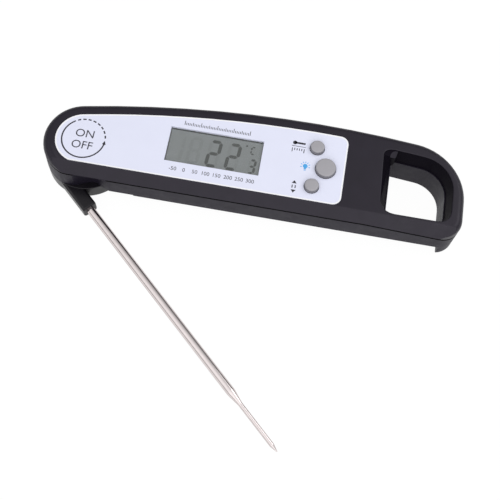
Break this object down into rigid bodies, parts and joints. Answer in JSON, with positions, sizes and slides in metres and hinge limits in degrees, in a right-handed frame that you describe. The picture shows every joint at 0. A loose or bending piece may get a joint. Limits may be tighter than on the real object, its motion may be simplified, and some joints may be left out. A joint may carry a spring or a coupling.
{
  "type": "folding digital meat thermometer",
  "caption": "Slim black case with a white face, a display, round grey buttons and a carrying loop; a pointed steel probe swings out of its lower edge on a turning hub.",
  "frame": {"origin": "on the flat back face, under the middle of the display", "axes": "+X along the case from the pivot end to the loop, +Y up the face towards the crowned edge, +Z out of the face"},
  "size_m": [0.1673, 0.1292, 0.021],
  "materials": {
    "case_plastic": "fine satin",
    "panel_white": "satin print",
    "window_clear": "clear",
    "display_grey": "polarised film",
    "rubber_pink": "soft",
    "guide_white": "translucent",
    "lamp_yellow": "clear resin",
    "board_green": "solder mask",
    "chip_black": "epoxy",
    "parts_tan": "ceramic",
    "switch_metal": "satin",
    "button_grey": "satin",
    "sounder_brass": "plain",
    "cell_steel": "satin",
    "contact_plate": "plated",
    "cover_plastic": "fine satin",
    "seal_rubber": "matte",
    "probe_steel": "polished",
    "hub_plastic": "satin",
    "washer_nylon": "plain",
    "magnet_nickel": "plated",
    "reed_glass": "clear",
    "bead_brown": "epoxy",
    "lead_red": "insulation",
    "screw_steel": "plain"
  },
  "bodies": {
    "case": {"front_shell": "case_plastic", "rear_shell": "case_plastic", "face_panel": "panel_white", "display_window": "window_clear", "display_glass": "display_grey", "connector_strip": "rubber_pink", "backlight_guide": "guide_white", "backlight_lamp": "lamp_yellow", "circuit_board": "board_green", "board_chip": "chip_black", "board_parts": "parts_tan", "tact_switches": "switch_metal", "sounder": "sounder_brass", "coin_cell": "cell_steel", "contact_positive": "contact_plate", "contact_negative": "contact_plate", "pivot_retainer": "cell_steel", "reed_switch": "reed_glass", "board_lead": "lead_red", "case_screws": "screw_steel", "case_gasket": "seal_rubber", "back_magnet": "magnet_nickel"},
    "probe": {"probe_hub": "hub_plastic", "probe_tube": "probe_steel", "pivot_washer": "washer_nylon", "pivot_seal": "seal_rubber", "pivot_cap": "cover_plastic", "fold_magnet": "magnet_nickel", "thermistor": "bead_brown", "probe_lead": "lead_red"},
    "unit_key": {"unit_button": "button_grey"},
    "light_key": {"light_button": "button_grey"},
    "hold_key": {"hold_button": "button_grey"},
    "battery_door": {"battery_cover": "cover_plastic", "battery_seal": "seal_rubber"}
  },
  "joints": [
    {"name": "probe_swing", "type": "hinge", "parent": "case", "child": "probe", "pos_m": [-0.0516, -0.0043, 0.0034], "axis": [0, 0, 1], "range_deg": [-137.3, 42.7]},
    {"name": "unit_press", "type": "slide", "parent": "case", "child": "unit_key", "axis": [0, 0, -1], "range_m": [0, 0.0007], "stiffness_N_per_m": 300},
    {"name": "light_press", "type": "slide", "parent": "case", "child": "light_key", "axis": [0, 0, -1], "range_m": [0, 0.0007], "stiffness_N_per_m": 300},
    {"name": "hold_press", "type": "slide", "parent": "case", "child": "hold_key", "axis": [0, 0, -1], "range_m": [0, 0.0007], "stiffness_N_per_m": 300},
    {"name": "battery_twist", "type": "hinge", "parent": "case", "child": "battery_door", "pos_m": [0.015, 0.002, 0.001], "axis": [0, 0, 1], "range_deg": [0, 60]}
  ]
}
